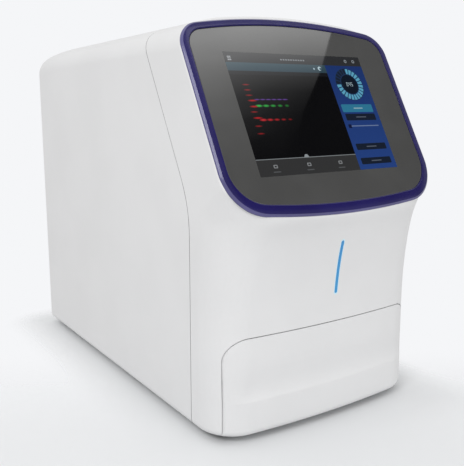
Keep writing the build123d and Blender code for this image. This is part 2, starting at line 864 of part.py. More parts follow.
def make_lens():
    lens_z = deck_top + filter_lift + filter_wheel_thickness + lens_gap
    ring_z = lens_z + zoom_ring_lift
    ring_top = ring_z + zoom_ring_height
    top = lens_z + lens_height
    collar = lens_radius + 2.5
    barrel = rod(0, axis_y, lens_z, top, lens_radius)
    barrel += rod(0, axis_y, lens_z, ring_z - touch_gap, collar)
    barrel += rod(0, axis_y, ring_top + touch_gap, top, collar)
    barrel -= rod(0, axis_y, lens_z - 1, lens_z + 10, lens_glass_radius)
    save("lens_barrel", barrel)
    glass_radius = lens_glass_radius - 2 * running_gap
    save("lens_glass", rod(0, axis_y, lens_z + 3, lens_z + 10, glass_radius))
    ring = gear(zoom_teeth, zoom_module, zoom_ring_height, lens_radius + running_gap, 90)
    save("zoom_ring", Pos(0, axis_y, ring_z) * ring)
    pinion_y = axis_y + zoom_module * (zoom_teeth + zoom_pinion_teeth) / 2
    motor_z = top - zoom_motor_size
    shaft_high = motor_z + zoom_motor_size * 0.6 - ring_z
    wheel = pinion(zoom_pinion_teeth, zoom_module, zoom_ring_height, 1, shaft_high, zoom_shaft_radius)
    save("zoom_pinion", Pos(0, pinion_y, ring_z) * wheel)
    half = zoom_motor_size / 2
    motor = block(-half, half, pinion_y - half, pinion_y + half, motor_z, top)
    motor -= rod(0, pinion_y, motor_z - 1, ring_z + shaft_high + 1, zoom_shaft_radius + running_gap)
    save("zoom_motor", motor)
    return top


def make_camera(bridge_z):
    y0 = axis_y - camera_size / 2 - 4
    y1 = y0 + bridge_depth
    bridge = block(-bridge_half, bridge_half, y0, y1, bridge_z, bridge_z + bridge_sheet)
    leg = block(bridge_half - bridge_sheet, bridge_half, y0, y1, deck_top, bridge_z + bridge_sheet)
    bridge += both_sides(leg)
    port = rod(0, axis_y, bridge_z - 1, bridge_z + bridge_sheet + 1, lens_glass_radius)
    save("camera_bridge", bridge - port)
    half = camera_size / 2
    body_z = bridge_z + bridge_sheet
    body = block(-half, half, axis_y - half, axis_y + half, body_z, body_z + camera_height)
    body = chamfer(body.edges().filter_by(Axis.Z), 3)
    save("camera_body", body)
    sink_z = body_z + camera_height
    sink = block(-half, half, axis_y - half, axis_y + half, sink_z, sink_z + 3)
    for index in range(sink_fins):
        x = (index / (sink_fins - 1) - 0.5) * (camera_size - sink_fin)
        sink += block(
            x - sink_fin / 2, x + sink_fin / 2, axis_y - half, axis_y + half, sink_z, sink_z + sink_height
        )
    save("camera_heat_sink", sink)
    frame, rotor = fan(camera_fan_size, camera_fan_depth)
    place = Pos(0, axis_y, sink_z + sink_height)
    save("camera_fan_frame", place * frame)
    save("camera_fan_rotor", place * rotor)


# Fans, with the axis along Z

def fan(size, thickness):
    bore = size / 2 - 2
    hub = size / 5
    stator = thickness / 4
    frame = extrude(RectangleRounded(size, size, fan_corner), thickness) - rod(0, 0, -1, thickness + 1, bore)
    for angle in (45, 135):
        frame += Rot(0, 0, angle) * block(-bore - 1, bore + 1, -2, 2, 0, stator / 2)
    frame += rod(0, 0, 0, stator, hub)
    frame -= rod(0, 0, -1, stator + 1, fan_shaft_radius + running_gap)
    low = stator + touch_gap
    high = thickness - 1
    rotor = rod(0, 0, low, high, hub) + rod(0, 0, stator / 4, low, fan_shaft_radius)
    tilt = math.radians(fan_pitch)
    chord = (high - low - 1 - fan_blade * math.sin(tilt)) / math.cos(tilt)
    reach = bore - fan_tip_gap - hub + 1
    blade = Rot(fan_pitch, 0, 0) * Box(reach, fan_blade, chord)
    blade = Pos(hub - 1 + reach / 2, 0, (low + high) / 2) * blade
    for index in range(fan_blades):
        rotor += Rot(0, 0, index * 360 / fan_blades) * blade
    return frame, rotor


def make_rear_fan():
    frame, rotor = fan(rear_fan_size, rear_fan_depth)
    place = Pos(fan_x, rear_y - cover_wall, fan_z) * Rot(90, 0, 0)
    save("rear_fan_frame", place * frame)
    save("rear_fan_rotor", place * rotor)


# Connector panel on the rear wall

def face_block(x, z, w, h, y0, y1):
    return block(x - w / 2, x + w / 2, y0, y1, z - h / 2, z + h / 2)


def make_panel():
    wall = rear_y - cover_wall
    lip = 8
    back = wall - panel_sheet
    panel = face_block(-panel_x, panel_z, panel_width + 2 * lip, panel_height + 2 * lip, back, wall)
    holes = socket_places()
    holes.append((-inlet_x, inlet_z, inlet_width, inlet_height))
    holes.append((-switch_x, inlet_z, switch_width, switch_height))
    for x, z, w, h in holes:
        panel -= face_block(x, z, w, h, back - 1, wall + 1)
    save("io_panel", panel)

    front = wall + 2
    inlet = face_block(-inlet_x, inlet_z, inlet_width, inlet_height, wall - inlet_depth, wall)
    inlet += face_block(-inlet_x, inlet_z, inlet_width + 5, inlet_height + 5, wall, front)
    floor = front - inlet_depth + 6
    inlet -= face_block(-inlet_x, inlet_z, inlet_width - 6, inlet_height - 8, floor, front + 1)
    for x, z in ((-7, -3), (0, 3), (7, -3)):
        inlet += face_block(x - inlet_x, inlet_z + z, 2, 5, floor - 1, front - 4)
    save("power_inlet", inlet)

    body = face_block(-switch_x, inlet_z, switch_width, switch_height, wall - switch_depth, wall)
    body += face_block(-switch_x, inlet_z, switch_width + 4, switch_height + 4, wall, front)
    hollow_w = switch_width - 3
    body -= face_block(-switch_x, inlet_z, hollow_w, switch_height - 2, wall - switch_depth + 3, front + 1)
    pin_y = wall - rocker_pin_depth
    across = Pos(-switch_x, pin_y, inlet_z) * Rot(0, 90, 0)
    body -= across * Cylinder(rocker_pin_radius + running_gap, switch_width - 1)
    save("switch_housing", body)
    rocker = face_block(-switch_x, inlet_z, hollow_w - 2 * rocker_gap, switch_height - 5, pin_y - 3, front)
    dish = Rot(0, 90, 0) * Cylinder(rocker_dish, switch_width)
    rocker -= Pos(-switch_x, front + rocker_dish - 1.2, inlet_z) * dish
    rocker = Pos(0, pin_y, inlet_z) * Rot(rocker_tilt, 0, 0) * Pos(0, -pin_y, -inlet_z) * rocker
    save("switch_rocker", rocker + across * Cylinder(rocker_pin_radius, switch_width - 1.4))

    sockets = []
    for x, z, w, h in socket_places():
        shell = face_block(x, z, w, h, wall - socket_depth, wall + 1)
        shell -= face_block(x, z, w - 1.6, h - 1.6, wall - socket_depth + 3, wall + 2)
        shell += face_block(x, z - h / 6, w - 4, 1.6, wall - socket_depth + 2, wall - 2)
        sockets.append(shell.solid())
    save("data_sockets", Compound(sockets))


def socket_places():
    places = [(-socket_x - 13, panel_z + 16, 14, 7), (-socket_x + 13, panel_z + 16, 14, 7)]
    places += [(-socket_x - 13, panel_z + 2, 14, 7), (-socket_x + 13, panel_z + 2, 14, 7)]
    places.append((-socket_x, panel_z - 18, 16, 13))
    return places


# Electronics

def make_electronics():
    edge = base_half - bay_margin
    top = base_top + supply_height
    right = supply_width - edge
    supply = block(-edge, right, rear_bay_y, rear_bay_y + supply_length, base_top, top)
    for index in range(7):
        y = rear_bay_y + 22 + index * (supply_length - 50) / 6
        supply -= block(16 - edge, right - 16, y, y + 6, top - 2, top + 1)
    save("power_supply", supply)

    left = edge - computer_width
    top = base_top + computer_height
    computer = block(left, edge, rear_bay_y, rear_bay_y + computer_length, base_top, top)
    for index in range(computer_fins):
        x = left + 8 + index * (computer_width - 16) / (computer_fins - 1)
        computer += block(x - 1.2, x + 1.2, rear_bay_y + 6, rear_bay_y + computer_length - 6, top, top + 12)
    save("computer_module", computer)

    y = chamber_rear + standoff_height
    half = control_width / 2
    low = control_z - control_height / 2
    high = control_z + control_height / 2
    board = block(-half, half, y, y + board_sheet, low, high)
    for x in (-half + 6, half - 6):
        for z in (low + 6, high - 6):
            board += rear_rod(x, z, chamber_rear, y, standoff_radius)
    for x, z, w, h, tall in control_chips:
        board += face_block(x, control_z + z, w, h, y + board_sheet, y + board_sheet + tall)
    save("control_board", board)


make_covers()
make_cover_screws()
make_screen()
make_drawer()
make_slides()
make_base()
make_frame()
make_chamber()
make_stage()
make_filter_wheel()
make_camera(make_lens())
make_rear_fan()
make_panel()
make_electronics()
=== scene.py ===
import json
import math

import bmesh
import bpy
from mathutils import Matrix, Vector


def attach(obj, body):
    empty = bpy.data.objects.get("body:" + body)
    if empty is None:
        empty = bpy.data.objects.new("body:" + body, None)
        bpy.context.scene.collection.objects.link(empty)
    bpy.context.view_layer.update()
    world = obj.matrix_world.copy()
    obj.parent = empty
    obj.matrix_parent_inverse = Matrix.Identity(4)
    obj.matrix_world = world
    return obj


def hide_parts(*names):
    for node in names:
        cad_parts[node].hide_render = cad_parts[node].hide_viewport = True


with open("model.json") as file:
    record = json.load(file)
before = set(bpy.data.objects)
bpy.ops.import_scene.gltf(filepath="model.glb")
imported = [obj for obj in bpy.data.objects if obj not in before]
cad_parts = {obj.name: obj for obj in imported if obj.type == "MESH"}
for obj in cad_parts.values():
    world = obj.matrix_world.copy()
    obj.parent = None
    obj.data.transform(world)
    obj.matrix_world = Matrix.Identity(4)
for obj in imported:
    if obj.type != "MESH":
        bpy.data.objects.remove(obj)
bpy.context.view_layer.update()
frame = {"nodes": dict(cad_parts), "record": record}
nodes = frame["nodes"]
mm = 0.001


# Shader helpers

class Field:
    def __init__(self, tree, socket):
        self.tree = tree
        self.socket = socket

    def math(self, operation, *values):
        node = self.tree.nodes.new("ShaderNodeMath")
        node.operation = operation
        for place, value in zip(node.inputs, values):
            plug(self.tree, place, value)
        return Field(self.tree, node.outputs[0])

    def __add__(self, other):
        return self.math("ADD", self, other)

    def __radd__(self, other):
        return self.math("ADD", other, self)

    def __sub__(self, other):
        return self.math("SUBTRACT", self, other)

    def __rsub__(self, other):
        return self.math("SUBTRACT", other, self)

    def __mul__(self, other):
        return self.math("MULTIPLY", self, other)

    def __rmul__(self, other):
        return self.math("MULTIPLY", other, self)

    def __truediv__(self, other):
        return self.math("DIVIDE", self, other)

    def __rtruediv__(self, other):
        return self.math("DIVIDE", other, self)

    def between(self, low, high, outLow=0.0, outHigh=1.0):  # a smooth step from low to high
        node = self.tree.nodes.new("ShaderNodeMapRange")
        node.interpolation_type = "SMOOTHSTEP"
        for place, value in zip(node.inputs, (self, low, high, outLow, outHigh)):
            plug(self.tree, place, value)
        return Field(self.tree, node.outputs[0])

    def make(self, kind, output=0, settings=None, **values):  # any other node
        node = self.tree.nodes.new(kind)
        for name, value in (settings or {}).items():
            setattr(node, name, value)
        for name, value in values.items():
            plug(self.tree, node.inputs[int(name[1:])], value)
        return Field(self.tree, node.outputs[output])


def root(value):
    return value.math("SQRT", value)


def largest(value, other):
    return value.math("MAXIMUM", value, other)


def plug(tree, place, value):
    if isinstance(value, Field):
        tree.links.new(value.socket, place)
    else:
        place.default_value = value


def parts(place):  # the x, y and z of a place
    split = place.tree.nodes.new("ShaderNodeSeparateXYZ")
    place.tree.links.new(place.socket, split.inputs[0])
    return tuple(Field(place.tree, socket) for socket in split.outputs)


def mixColors(factor, first, second):
    return factor.make("ShaderNodeMix", 2, {"data_type": "RGBA"}, i0=factor, i6=first, i7=second)


def newMaterial(name, color, roughness, **settings):
    material = bpy.data.materials.new(name)
    material.use_nodes = True
    tree = material.node_tree
    shader = tree.nodes["Principled BSDF"]
    shader.inputs["Base Color"].default_value = (*color, 1)
    shader.inputs["Roughness"].default_value = roughness
    for label, value in settings.items():
        shader.inputs[label].default_value = value
    where = tree.nodes.new("ShaderNodeTexCoord")
    return material, shader, Field(tree, where.outputs["Object"])


def noiseField(place, scale, detail=2.0, roughness=0.5):
    return place.make("ShaderNodeTexNoise", i0=place, i2=scale, i3=detail, i4=roughness)


def bumpField(height, strength, distance):
    return height.make("ShaderNodeBump", i0=strength, i1=distance, i2=height)


tintSpan = (0.3, 0.7)  # the part of a noise over which a tint goes from dark to pale
glossSpan = (0.25, 0.75)  # and over which the roughness does


def shade(name, color, roughness, look, **settings):  # a moulded, cast or brushed finish
    material, shader, place = newMaterial(name, color, roughness, **settings)
    tree = material.node_tree
    cloud = noiseField(place, look["cloud"], 3.0)
    shift = look["shift"]
    dark = tuple(c * (1 - shift) for c in color) + (1,)
    pale = tuple(min(1, c * (1 + shift)) for c in color) + (1,)
    plug(tree, shader.inputs["Base Color"], mixColors(cloud.between(*tintSpan), dark, pale))
    uneven = cloud.between(*glossSpan, roughness - look["uneven"], roughness + look["uneven"])
    plug(tree, shader.inputs["Roughness"], uneven)
    grain = place
    if "stretch" in look:
        grain = place.make("ShaderNodeMapping", i0=place, i3=look["stretch"])
    height = noiseField(grain, look["grain"], 2.0)
    plug(tree, shader.inputs["Normal"], bumpField(height, look["bump"], look["depth"]))
    return material


moulded = {"cloud": 9.0, "shift": 0.02, "uneven": 0.03, "grain": 1500.0, "bump": 0.12, "depth": 0.0002}
cast = {"cloud": 40.0, "shift": 0.06, "uneven": 0.05, "grain": 900.0, "bump": 0.25, "depth": 0.0003}
brushed = {
    "cloud": 60.0, "shift": 0.05, "uneven": 0.06, "grain": 700.0, "bump": 0.2, "depth": 0.0002,
    "stretch": (1.0, 0.03, 1.0),
}

shellLook = {  # the white covers, and the halo of light round the strip on their face
    "color": (0.70, 0.70, 0.705), "shift": 0.015, "roughness": 0.42, "uneven": 0.03,
    "glow": (0.50, 0.86, 1.0, 1), "glowShare": 0.75, "haloInner": 2.0, "haloOuter": 5.0,
    "stripX": 0.006, "stripLow": 0.1965, "stripHigh": 0.2715, "faceFrom": -0.315, "faceTo": -0.305,
}


def shellMaterial():
    look = shellLook
    material, shader, place = newMaterial("shellPlastic", look["color"], look["roughness"])
    tree = material.node_tree
    cloud = noiseField(place, moulded["cloud"], 3.0)
    dark = tuple(c * (1 - look["shift"]) for c in look["color"]) + (1,)
    pale = tuple(c * (1 + look["shift"]) for c in look["color"]) + (1,)
    color = mixColors(cloud.between(*tintSpan), dark, pale)
    x, y, z = parts(place)
    beside = x - look["stripX"]
    above = largest(z - look["stripHigh"], 0.0)
    below = largest(look["stripLow"] - z, 0.0)
    away = root(beside * beside + above * above + below * below)
    onFace = 1.0 - y.between(look["faceFrom"], look["faceTo"])
    halo = (1.0 - away.between(look["haloInner"] * mm, look["haloOuter"] * mm)) * onFace
    plug(tree, shader.inputs["Base Color"], mixColors(halo * look["glowShare"], color, look["glow"]))
    uneven = cloud.between(*glossSpan, look["roughness"] - look["uneven"], look["roughness"] + look["uneven"])
    plug(tree, shader.inputs["Roughness"], uneven)
    height = noiseField(place, moulded["grain"], 2.0)
    plug(tree, shader.inputs["Normal"], bumpField(height, moulded["bump"], moulded["depth"]))
    return material


materials = {
    "shell": shellMaterial(),
    "rubber": shade("footRubber", (0.025, 0.025, 0.026), 0.75, cast),
    "steel": shade("brushedSteel", (0.55, 0.55, 0.56), 0.32, brushed, Metallic=1.0),
    "zinc": shade("zincScrew", (0.60, 0.60, 0.62), 0.28, cast, Metallic=1.0),
    "chassis": shade("blackPowderCoat", (0.022, 0.022, 0.024), 0.6, cast),
    "blackPlastic": shade("blackPlastic", (0.022, 0.022, 0.025), 0.4, moulded),
    "acetal": shade("acetalWhite", (0.66, 0.65, 0.61), 0.35, moulded),
    "motor": shade("motorPaint", (0.045, 0.045, 0.05), 0.38, cast),
    "aluminium": shade("anodisedAluminium", (0.56, 0.57, 0.59), 0.36, brushed, Metallic=1.0),
    "board": shade("circuitBoard", (0.015, 0.13, 0.055), 0.4, cast),
    "socket": shade("socketSteel", (0.62, 0.62, 0.64), 0.25, cast, Metallic=1.0),
    "diffuser": shade("opalDiffuser", (0.82, 0.83, 0.85), 0.5, moulded),
    "lamp": shade("lampHousing", (0.10, 0.10, 0.11), 0.45, cast),
}


clearCoat = {"Coat Weight": 1.0, "Coat Roughness": 0.03}
optic = {
    "color": (0.16, 0.13, 0.30), "violet": (0.10, 0.07, 0.26, 1), "green": (0.12, 0.22, 0.30, 1),
    "roughness": 0.06, "cloudScale": 25.0, "span": (0.35, 0.65),
}


def opticMaterial():
    material, shader, place = newMaterial("coatedOptic", optic["color"], optic["roughness"], **clearCoat)
    sheen = noiseField(place, optic["cloudScale"], 1.0)
    tint = mixColors(sheen.between(*optic["span"]), optic["violet"], optic["green"])
    plug(material.node_tree, shader.inputs["Base Color"], tint)
    return material


materials["optic"] = opticMaterial()

print("materials made")


# Smooth stand-ins for the CAD pieces

smoothing = {"near": 0.00002, "sliver": 0.000005, "sharp": 32.0, "weight": 100}


def smoothCopy(name, node):
    mesh = nodes[node].data.copy()
    mesh.name = name
    work = bmesh.new()
    work.from_mesh(mesh)
    bmesh.ops.remove_doubles(work, verts=work.verts, dist=smoothing["near"])
    bmesh.ops.dissolve_degenerate(work, edges=work.edges, dist=smoothing["sliver"])
    work.to_mesh(mesh)
    work.free()
    piece = linkMesh(name, mesh, smoothing["sharp"])
    flatten = piece.modifiers.new("flatten", "WEIGHTED_NORMAL")  # wide flat faces stay even
    flatten.keep_sharp = True
    flatten.weight = smoothing["weight"]
    piece.data = evaluatedMesh(piece, name)
    piece.modifiers.remove(flatten)
    return piece


def linkMesh(name, mesh, angle):  # shaded smooth, with sharp edges past the angle
    for polygon in mesh.polygons:
        polygon.use_smooth = True
    mesh.set_sharp_from_angle(angle=math.radians(angle))
    piece = bpy.data.objects.new(name, mesh)
    bpy.context.scene.collection.objects.link(piece)
    return piece


def evaluatedMesh(piece, name):  # the piece's mesh with its modifiers worked in
    bpy.context.view_layer.update()
    evaluated = piece.evaluated_get(bpy.context.evaluated_depsgraph_get())
    mesh = bpy.data.meshes.new_from_object(evaluated)
    mesh.name = name
    return mesh


def finishMesh(name, work, angle):
    mesh = bpy.data.meshes.new(name)
    work.to_mesh(mesh)
    work.free()
    return linkMesh(name, mesh, angle)


def bodyOf(node):
    bodies = frame["record"]["behaviour"]["bodies"]
    return next(body for body, members in bodies.items() if node in members)


def standIn(node, material):
    first, *others = node.split("_")
    piece = smoothCopy(first + "".join(word.capitalize() for word in others), node)
    piece.data.materials.clear()
    piece.data.materials.append(materials[material])
    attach(piece, bodyOf(node))
    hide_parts(node)
    return piece


finishes = {
    "shell": ["main_cover", "front_cover", "drawer_front"],
    "rubber": ["rubber_feet", "drawer_seal", "cover_gasket"],
    "zinc": ["cover_screws"],
    "steel": [
        "slide_outer_left", "slide_outer_right", "slide_middle_left", "slide_middle_right",
        "slide_inner_left", "slide_inner_right", "filter_spindle", "stage_bearing", "stage_pinion",
        "filter_pinion", "zoom_pinion",
    ],
    "chassis": ["base_tray", "inner_frame", "camera_deck", "dark_chamber", "drawer_tray", "drawer_plates"],
    "blackPlastic": [
        "display_panel", "magnetic_catch", "power_inlet", "switch_housing", "switch_rocker", "rear_fan_frame",
        "rear_fan_rotor", "camera_fan_frame", "camera_fan_rotor", "sample_stage",
    ],
    "acetal": ["stage_gear", "filter_wheel", "zoom_ring"],
    "motor": ["stage_motor", "filter_motor", "zoom_motor", "lens_barrel"],
    "lamp": ["epi_lights"],
    "aluminium": [
        "camera_body", "camera_heat_sink", "camera_bridge", "display_bracket", "io_panel", "power_supply",
        "computer_module",
    ],
    "board": ["control_board", "display_board", "strip_board", "stage_lamp_board"],
    "socket": ["data_sockets"],
    "optic": ["lens_glass", "filter_glasses"],
    "diffuser": ["stage_diffuser"],
}
seam = {  # painted shade on the covers' cut edges at the parting line, where the gap lies in shadow, and the way in which the edge of each faces
    "color": (0.20, 0.20, 0.205), "roughness": 0.6, "facing": 0.9,
    "ways": {"main_cover": (0, -0.97, 0.243), "front_cover": (0, 0.97, -0.243)},
}
# the dark grey of this material is painted shade, not the covers' own colour
materials["seam"] = shade("seamShadePlastic", seam["color"], seam["roughness"], moulded)


# paints shade on the faces of a cover that look into the parting line's gap
def paintSeamShade(piece, way):
    piece.data.materials.append(materials["seam"])
    for polygon in piece.data.polygons:
        if polygon.normal.dot(Vector(way)) > seam["facing"]:
            polygon.material_index = 1


for finish, members in finishes.items():
    for member in members:
        piece = standIn(member, finish)
        if member in seam["ways"]:
            paintSeamShade(piece, seam["ways"][member])

print("stand-ins made")


# Screen unit: everything is placed across, up and out of the leaning screen plane

screen = {"lean": 28.5, "y": -0.273, "z": 0.449}
lean = math.radians(screen["lean"])
across = Vector((1, 0, 0))
upward = Vector((0, math.sin(lean), math.cos(lean)))
outward = Vector((0, -math.cos(lean), math.sin(lean)))
screenCentre = Vector((0, screen["y"], screen["z"]))
screenPlane = Matrix.Translation(screenCentre) @ Matrix((across, upward, outward)).transposed().to_4x4()


def onScreen(x, s, n):  # millimetres in the plane to a point in metres
    return screenCentre + (across * x + upward * s + outward * n) * mm


bezel = {  # the ring, in millimetres: its outline, then how far its sill hangs at the bottom
    "half": 187.5, "top": 148.5, "bottom": 152.0, "topRadius": 900.0, "bottomRadius": 1200.0,
    "topCorner": 38.0, "bottomCorner": 61.0, "sill": 4.0, "sharp": 40,
    "topSteps": 40, "topCornerSteps": 24, "sideSteps": 16, "bottomCornerSteps": 32, "bottomSteps": 40,
    "edge": 0.93,  # how far in the painted highlight on the outer edge reaches
    # corners of the section: how far in from the outline, height, radius, share of the sill
    "section": [
        (-1.5, -1.2, 0, 0), (-1.5, 1.0, 0.7, 0), (1.6, 3.6, 1.2, 0),
        (9.2, 4.1, 1.1, 0.9), (10.2, 3.2, 0.3, 1), (10.2, 0.0, 0, 1),
    ],
    "cornerSteps": 6,
}


def filletArc(centreY, radius, corner, side):  # the arc that joins the side to a top or bottom arc
    x = bezel["half"] - corner
    inner = radius - corner
    y = centreY + side * math.sqrt(inner * inner - x * x)
    joinAngle = math.atan2((y - centreY) * side, x)
    return x, y, joinAngle


def bezelOutline():  # points from the top left clockwise: place, outward way, whether the sill hangs there
    points = []

    def arc(x, y, radius, start, turn, count, low):
        for index in range(count):
            angle = start + turn * index / count
            way = (math.cos(angle), math.sin(angle))
            points.append((x + radius * way[0], y + radius * way[1], *way, low))

    half = bezel["half"]
    topRadius = bezel["topRadius"]
    bottomRadius = bezel["bottomRadius"]
    topCorner = bezel["topCorner"]
    bottomCorner = bezel["bottomCorner"]
    topCentre = bezel["top"] - topRadius
    bottomCentre = bottomRadius - bezel["bottom"]
    topX, topY, topAngle = filletArc(topCentre, topRadius, topCorner, 1)
    lowX, lowY, lowAngle = filletArc(bottomCentre, bottomRadius, bottomCorner, -1)
    sides = bezel["sideSteps"]
    arc(0, topCentre, topRadius, math.pi - topAngle, 2 * topAngle - math.pi, bezel["topSteps"], 0)
    arc(topX, topY, topCorner, topAngle, -topAngle, bezel["topCornerSteps"], 0)
    for index in range(sides):
        points.append((half, topY + (lowY - topY) * index / sides, 1, 0, 0))
    arc(lowX, lowY, bottomCorner, 0, -lowAngle, bezel["bottomCornerSteps"], 1)
    arc(0, bottomCentre, bottomRadius, -lowAngle, 2 * lowAngle - math.pi, bezel["bottomSteps"], 1)
    arc(-lowX, lowY, bottomCorner, lowAngle - math.pi, -lowAngle, bezel["bottomCornerSteps"], 1)
    for index in range(sides):
        points.append((-half, lowY + (topY - lowY) * index / sides, -1, 0, 1 if index == 0 else 0))
    arc(-topX, topY, topCorner, math.pi, -topAngle, bezel["topCornerSteps"], 0)
    return points


def ringSection():  # the section with its corners rounded: how far in, height, share of the sill
    corners = bezel["section"]
    steps = bezel["cornerSteps"]
    line = []
    for index, (inward, height, radius, share) in enumerate(corners):
        if radius == 0:
            line.append((inward, height, share))
            continue
        before = Vector(corners[index - 1][:2])
        after = Vector(corners[index + 1][:2])
        here = Vector((inward, height))
        first = (before - here).normalized()
        second = (after - here).normalized()
        half = first.angle(second) / 2
        reach = radius / math.tan(half)
        centre = here + (first + second).normalized() * (radius / math.sin(half))
        start = here + first * reach - centre
        end = here + second * reach - centre
        turn = start.angle_signed(end)
        for step in range(steps + 1):
            place = centre + Matrix.Rotation(-turn * step / steps, 2) @ start
            line.append((place.x, place.y, share))
    return line


def loopMesh(name, places, attributes):  # a closed loop of edges that carries numbers for the tree
    count = len(places)
    mesh = bpy.data.meshes.new(name)
    mesh.from_pydata(places, [(index, (index + 1) % count) for index in range(count)], [])
    for label, values in attributes.items():
        mesh.attributes.new(label, "FLOAT", "POINT").data.foreach_set("value", values)
    return mesh


def ringTree():  # sweeps the section along the path, hangs the sill, then colours the band and paints a highlight on its edge
    tree = bpy.data.node_groups.new("ringSweep", "GeometryNodeTree")
    names = {}
    for label, kind in (
        ("Path", "Geometry"), ("Section", "Object"), ("Sill", "Float"), ("Edge", "Float"),
        ("Band", "Material"), ("Highlight Band", "Material"),
    ):
        socket = tree.interface.new_socket(label, in_out="INPUT", socket_type="NodeSocket" + kind)
        names[label] = socket.identifier
    tree.interface.new_socket("Ring", in_out="OUTPUT", socket_type="NodeSocketGeometry")
    given = tree.nodes.new("NodeGroupInput")
    path, section, sill, edge, band, highlightBand = (Field(tree, socket) for socket in given.outputs[:6])
    made = path.make

    def read(label):
        return made("GeometryNodeInputNamedAttribute", 0, {"data_type": "FLOAT"}, i0=label)

    inward = read("inward")
    line = made("GeometryNodeMeshToCurve", i0=path)
    level = made("GeometryNodeSetCurveNormal", 0, {"mode": "Z_UP"}, i0=line)
    shape = made("GeometryNodeMeshToCurve", i0=made("GeometryNodeObjectInfo", 4, i0=section))
    swept = made("GeometryNodeCurveToMesh", i0=level, i1=shape)
    lift = made("ShaderNodeCombineXYZ", i1=read("low") * read("share") * sill)
    hung = made("GeometryNodeSetPosition", i0=swept, i3=lift)
    whole = made("GeometryNodeRealizeInstances", i0=hung)
    plain = made("GeometryNodeSetMaterial", i0=whole, i2=band)
    # the outer edge of the section takes the lighter lacquer, a painted highlight
    outer = inward.math("LESS_THAN", inward, edge)
    painted = made("GeometryNodeSetMaterial", i0=plain, i1=outer, i2=highlightBand)
    plug(tree, tree.nodes.new("NodeGroupOutput").inputs[0], painted)
    return tree, names


def makeRing():
    outline = bezelOutline()
    section = ringSection()
    places = [(x * mm, s * mm, 0) for x, s, *others in outline]
    path = loopMesh("bezelRing", places, {"low": [point[4] for point in outline]})
    shape = loopMesh(
        "ringSection", [(inward * mm, -height * mm, 0) for inward, height, share in section],
        {"share": [point[2] for point in section], "inward": [point[0] for point in section]},
    )
    pattern = bpy.data.objects.new("ringSection", shape)
    piece = bpy.data.objects.new("bezelRing", path)
    bpy.context.scene.collection.objects.link(piece)
    tree, names = ringTree()
    modifier = piece.modifiers.new("ringSweep", "NODES")
    modifier.node_group = tree
    for label, value in (
        ("Section", pattern), ("Sill", bezel["sill"] * mm), ("Edge", bezel["edge"]),
        ("Band", materials["bezel"]), ("Highlight Band", materials["bezelHighlight"]),
    ):
        modifier[names[label]] = value
    mesh = evaluatedMesh(piece, "bezelRing")
    mesh.transform(screenPlane)
    bpy.data.objects.remove(piece)
    bpy.data.objects.remove(pattern)
    return linkMesh("bezelRing", mesh, bezel["sharp"])


lacquer = {  # the ring's finish: its flecks, and what the band and its outer edge take; the edge's lighter lacquer is a painted highlight
    "roughness": 0.3, "coatRoughness": 0.08, "specular": 0.15, "fleck": (0.06, 0.05, 0.26, 1),
    "fleckShare": 0.35, "fleckScale": 2600.0, "fleckSpan": (0.62, 0.72), "cloudScale": 14.0,
    "cloudSpan": (0.35, 0.65), "pale": 1.2, "polished": 0.22, "dull": 0.28,
    "bezel": {"name": "bezelLacquer", "color": (0.009, 0.006, 0.074), "coat": 0.2},
    # a lighter lacquer that paints the highlight on the ring's outer edge
    "bezelHighlight": {"name": "bezelEdgeLacquer", "color": (0.085, 0.080, 0.19), "coat": 0.3},
}


def lacquerMaterial(name, color, coat):
    look = lacquer
    gloss = {"Coat Weight": coat, "Coat Roughness": look["coatRoughness"]}
    gloss["Specular IOR Level"] = look["specular"]
    material, shader, place = newMaterial(name, color, look["roughness"], **gloss)
    tree = material.node_tree
    fleck = noiseField(place, look["fleckScale"], 1.0)
    cloud = noiseField(place, look["cloudScale"], 2.0)
    pale = tuple(share * look["pale"] for share in color)
    tint = mixColors(cloud.between(*look["cloudSpan"]), (*color, 1), (*pale, 1))
    flecked = mixColors(fleck.between(*look["fleckSpan"]) * look["fleckShare"], tint, look["fleck"])
    plug(tree, shader.inputs["Base Color"], flecked)
    plug(tree, shader.inputs["Roughness"], cloud.between(*tintSpan, look["polished"], look["dull"]))
    return material


for part in ("bezel", "bezelHighlight"):
    materials[part] = lacquerMaterial(**lacquer[part])
ring = makeRing()
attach(ring, "housing")
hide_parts("bezel_ring")


faceplate = {  # the dark glass inside the ring
    "color": (0.062, 0.062, 0.062), "roughness": 0.5, "dark": (0.062, 0.062, 0.061, 1),
    "pale": (0.070, 0.070, 0.069, 1), "sparkle": (0.12, 0.12, 0.12, 1), "sparkleShare": 0.3,
    "sparkleScale": 3200.0, "sparkleSpan": (0.6, 0.75), "cloudScale": 12.0,
    "polished": 0.45, "dull": 0.55, "sharp": 50,
    # its rounded rim: how far in from the ring's outline, height
    "rim": [(10.4, 0.0), (10.4, 2.0), (10.5, 2.25), (10.7, 2.42), (11.0, 2.5), (11.8, 2.5)],
}


def plateMaterial():
    look = faceplate
    material, shader, place = newMaterial(
        "faceplateGlass", look["color"], look["roughness"], **clearCoat, **{"Specular IOR Level": 0.0}
    )
    tree = material.node_tree
    sparkle = noiseField(place, look["sparkleScale"], 1.0)
    cloud = noiseField(place, look["cloudScale"], 2.0)
    tint = mixColors(cloud.between(*tintSpan), look["dark"], look["pale"])
    lit = mixColors(sparkle.between(*look["sparkleSpan"]) * look["sparkleShare"], tint, look["sparkle"])
    plug(tree, shader.inputs["Base Color"], lit)
    plug(tree, shader.inputs["Roughness"], cloud.between(*tintSpan, look["polished"], look["dull"]))
    return material


